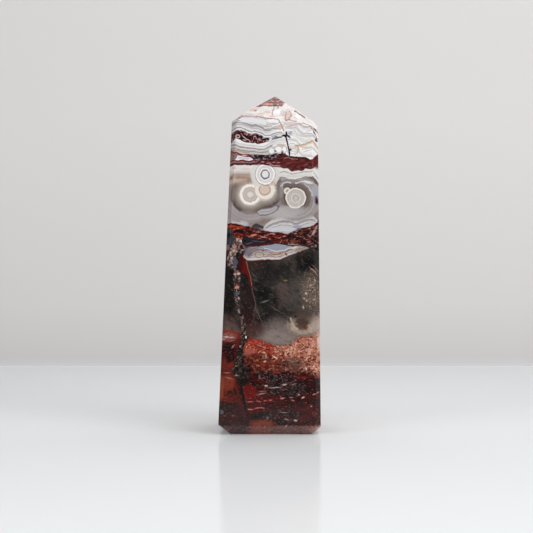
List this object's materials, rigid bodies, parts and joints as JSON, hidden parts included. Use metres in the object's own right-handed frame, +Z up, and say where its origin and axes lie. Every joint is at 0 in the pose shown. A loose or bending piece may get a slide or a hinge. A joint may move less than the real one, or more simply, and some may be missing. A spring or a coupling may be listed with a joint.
{
  "type": "lace agate tower",
  "caption": "Polished lace agate tower: a tapered column with broad flat faces and narrow corner facets, a low faceted point and a bevelled flat foot.",
  "frame": {"origin": "under the middle of the stone's bounding box, on the flat that it stands on", "axes": "+Z up along the tower to its point; -Y out of the broad face with the rings; +X to that face's right"},
  "size_m": [0.0298, 0.029, 0.1002],
  "materials": {
    "agate": "polished"
  },
  "bodies": {
    "root": {"tower": "agate"}
  },
  "joints": []
}
